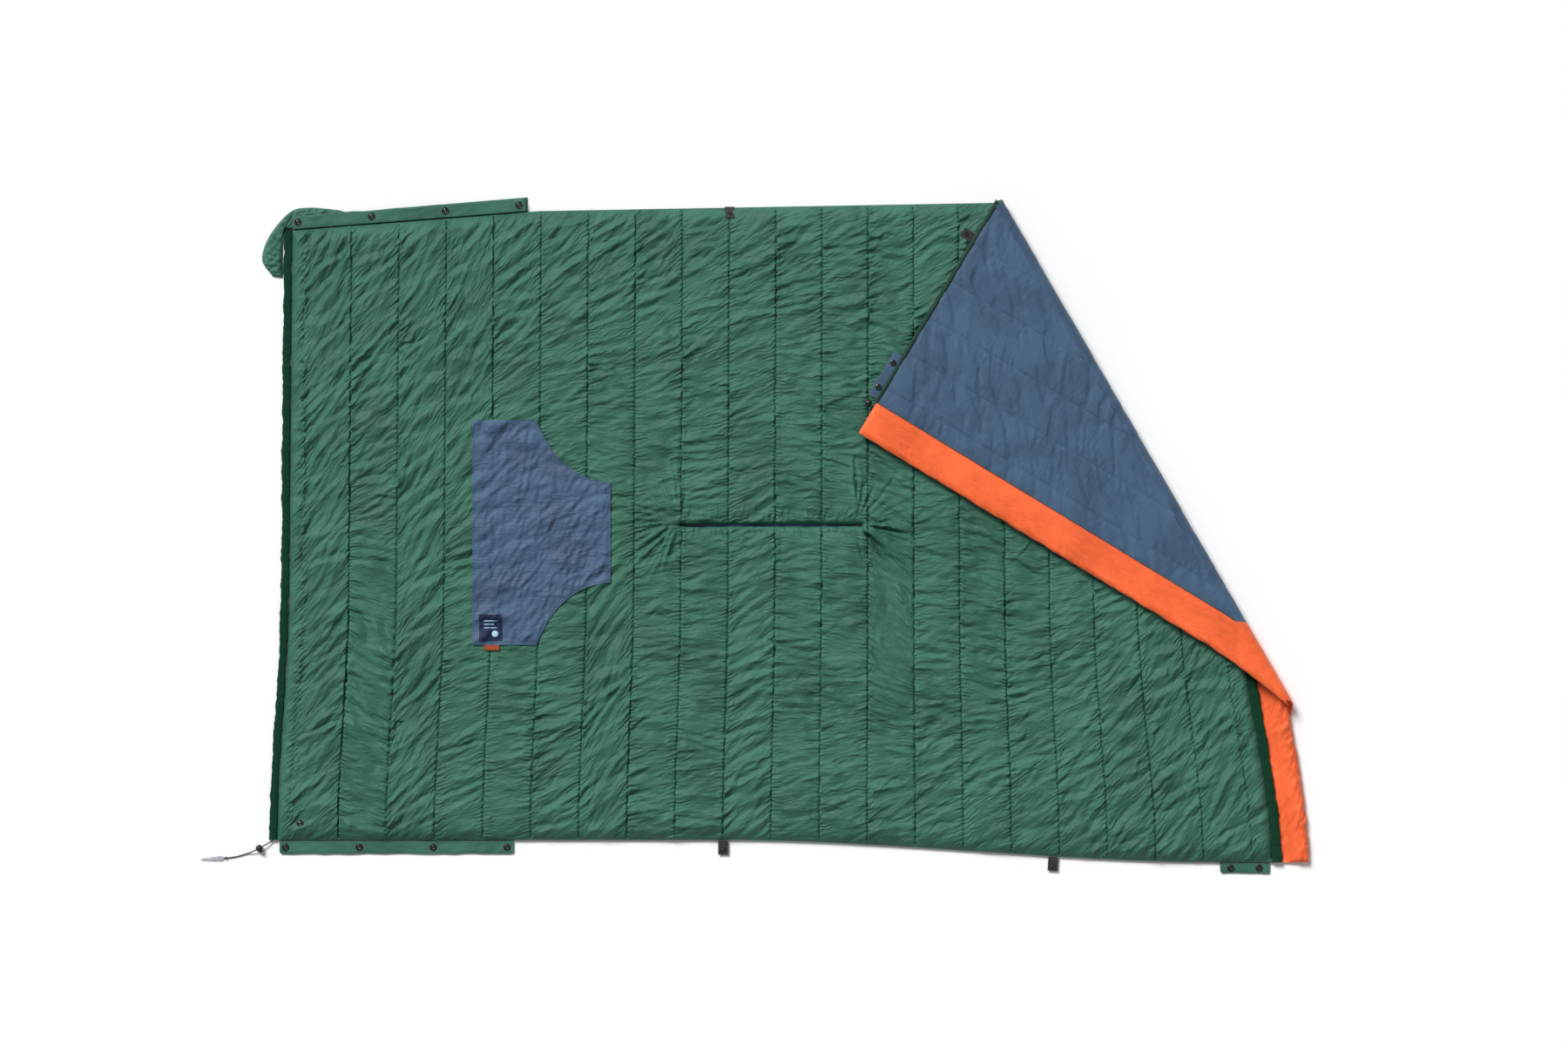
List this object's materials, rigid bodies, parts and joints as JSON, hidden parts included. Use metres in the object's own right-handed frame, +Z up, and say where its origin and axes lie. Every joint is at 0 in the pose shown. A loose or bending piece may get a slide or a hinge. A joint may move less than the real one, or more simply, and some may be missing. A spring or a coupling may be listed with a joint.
{
  "type": "camp quilt",
  "caption": "Quilted rectangular camp blanket lying flat with one head corner folded back, neck slit, hand pocket, draught collar, foot-box snaps, straps and drawcords.",
  "frame": {"origin": "on the quilt's flat underside, on its centreline, at the first seam from the foot end", "axes": "+X from the foot end to the head end, +Y to the long edge whose head corner is folded back, +Z up out of the shell"},
  "size_m": [2.2349, 1.3643, 0.049],
  "materials": {
    "shell_green": "thin downproof nylon with a slight sheen",
    "lining_blue": "thin downproof nylon, duller than the shell",
    "collar_orange": "thin nylon, soft sheen",
    "hem_green": "short brushed pile, matte",
    "fill_white": "lofty synthetic batt",
    "black_webbing": "woven webbing",
    "black_plastic": "moulded, semi-gloss",
    "cord_black": "braided cord",
    "clear_tag": "translucent, frosted",
    "label_navy": null,
    "tag_orange": "woven tag, burnt orange",
    "spring_steel": "drawn wire"
  },
  "bodies": {
    "quilt": {"outer_shell": "shell_green", "fill": "fill_white", "lining": "lining_blue", "collar_casing": "collar_orange", "collar_fill": "fill_white", "foot_hem_channel": "hem_green", "foot_drawcord": "cord_black", "head_hem_channel": "hem_green", "head_drawcord": "cord_black", "draught_flap_shell": "shell_green", "draught_flap_fill": "fill_white", "body_snap": "black_plastic", "pocket_panel": "lining_blue", "pocket_label": "label_navy", "pocket_tag": "tag_orange", "upper_zip_tape": "shell_green", "lower_zip_tape": "shell_green", "zip_chain": "shell_green", "foot_cord_tail": "cord_black", "foot_cord_tag": "clear_tag", "foot_lock_barrel": "black_plastic", "foot_lock_spring": "spring_steel"},
    "corner_flap": {"corner_outer_shell": "shell_green", "corner_fill": "fill_white", "corner_lining": "lining_blue", "corner_collar_casing": "collar_orange", "corner_collar_fill": "fill_white", "corner_head_hem_channel": "hem_green", "corner_head_drawcord": "cord_black", "head_cord_end": "cord_black", "head_lock_barrel": "black_plastic", "head_lock_spring": "spring_steel"},
    "foot_lock_button": {"foot_lock_plunger": "black_plastic"},
    "head_lock_button": {"head_lock_plunger": "black_plastic"},
    "zip_runner": {"zip_slider": "black_plastic"},
    "zip_handle": {"zip_pull": "black_plastic"},
    "upper_foot_placket_strip": {"upper_foot_placket": "shell_green", "upper_foot_placket_snap_1": "black_plastic", "upper_foot_placket_snap_2": "black_plastic", "upper_foot_placket_snap_3": "black_plastic", "upper_foot_placket_snap_4": "black_plastic"},
    "upper_head_tab_strip": {"upper_head_tab": "shell_green", "upper_head_tab_snap_1": "black_plastic", "upper_head_tab_snap_2": "black_plastic"},
    "upper_mid_strap_loop": {"upper_mid_strap": "black_webbing", "upper_mid_strap_snap": "black_plastic"},
    "upper_head_strap_loop": {"upper_head_strap": "black_webbing", "upper_head_strap_snap": "black_plastic"},
    "lower_foot_placket_strip": {"lower_foot_placket": "shell_green", "lower_foot_placket_snap_1": "black_plastic", "lower_foot_placket_snap_2": "black_plastic", "lower_foot_placket_snap_3": "black_plastic", "lower_foot_placket_snap_4": "black_plastic"},
    "lower_head_tab_strip": {"lower_head_tab": "shell_green", "lower_head_tab_snap_1": "black_plastic", "lower_head_tab_snap_2": "black_plastic"},
    "lower_mid_strap_loop": {"lower_mid_strap": "black_webbing", "lower_mid_strap_snap": "black_plastic"},
    "lower_head_strap_loop": {"lower_head_strap": "black_webbing", "lower_head_strap_snap": "black_plastic"}
  },
  "joints": [
    {"name": "corner_fold", "type": "hinge", "parent": "quilt", "child": "corner_flap", "pos_m": [1.39474, 0.65558, 0.0245], "axis": [-0.5, 0.866, 0], "range_deg": [0, 180]},
    {"name": "upper_foot_placket_fold", "type": "hinge", "parent": "quilt", "child": "upper_foot_placket_strip", "pos_m": [0.20987, 0.61983, 0.0105], "axis": [0.997, 0.0775, 0], "range_deg": [0, 110]},
    {"name": "lower_foot_placket_fold", "type": "hinge", "parent": "quilt", "child": "lower_foot_placket_strip", "pos_m": [0.18358, -0.6315, 0.003], "axis": [-1, 0, 0], "range_deg": [0, 110]},
    {"name": "lower_head_tab_fold", "type": "hinge", "parent": "quilt", "child": "lower_head_tab_strip", "pos_m": [1.895, -0.6765, 0.003], "axis": [-1, 0.0001, 0], "range_deg": [0, 110]},
    {"name": "upper_head_tab_fold", "type": "hinge", "parent": "corner_flap", "child": "upper_head_tab_strip", "pos_m": [1.17869, 0.30084, 0.046], "axis": [-0.518, -0.8554, 0], "range_deg": [-90, 90]},
    {"name": "lower_mid_strap_fold", "type": "hinge", "parent": "quilt", "child": "lower_mid_strap_loop", "pos_m": [0.84243, -0.6315, 0.0054], "axis": [-1, 0.0011, 0], "range_deg": [0, 110]},
    {"name": "lower_head_strap_fold", "type": "hinge", "parent": "quilt", "child": "lower_head_strap_loop", "pos_m": [1.50829, -0.66436, 0.0054], "axis": [-0.9982, 0.0603, 0], "range_deg": [0, 110]},
    {"name": "upper_mid_strap_fold", "type": "hinge", "parent": "quilt", "child": "upper_mid_strap_loop", "pos_m": [0.85556, 0.64717, 0.0054], "axis": [-0.9998, -0.018, 0], "range_deg": [0, 148]},
    {"name": "upper_head_strap_fold", "type": "hinge", "parent": "corner_flap", "child": "upper_head_strap_loop", "pos_m": [1.34754, 0.58023, 0.0436], "axis": [-0.5166, -0.8562, 0], "range_deg": [-90, 30]},
    {"name": "zip_slide", "type": "slide", "parent": "quilt", "child": "zip_runner", "axis": [-1, 0, 0], "range_m": [0, 0.345]},
    {"name": "zip_pull_swing", "type": "hinge", "parent": "zip_runner", "child": "zip_handle", "pos_m": [1.11295, 0.005, 0.0081], "axis": [0, -1, 0], "range_deg": [0, 150]},
    {"name": "foot_lock_press", "type": "slide", "parent": "quilt", "child": "foot_lock_button", "axis": [-0.4797, 0.8774, 0], "range_m": [0, 0.0018], "stiffness_N_per_m": 500, "deforming": ["foot_lock_spring"]},
    {"name": "head_lock_press", "type": "slide", "parent": "corner_flap", "child": "head_lock_button", "axis": [0.5, 0.866, 0], "range_m": [0, 0.0018], "stiffness_N_per_m": 500, "deforming": ["head_lock_spring"]}
  ]
}
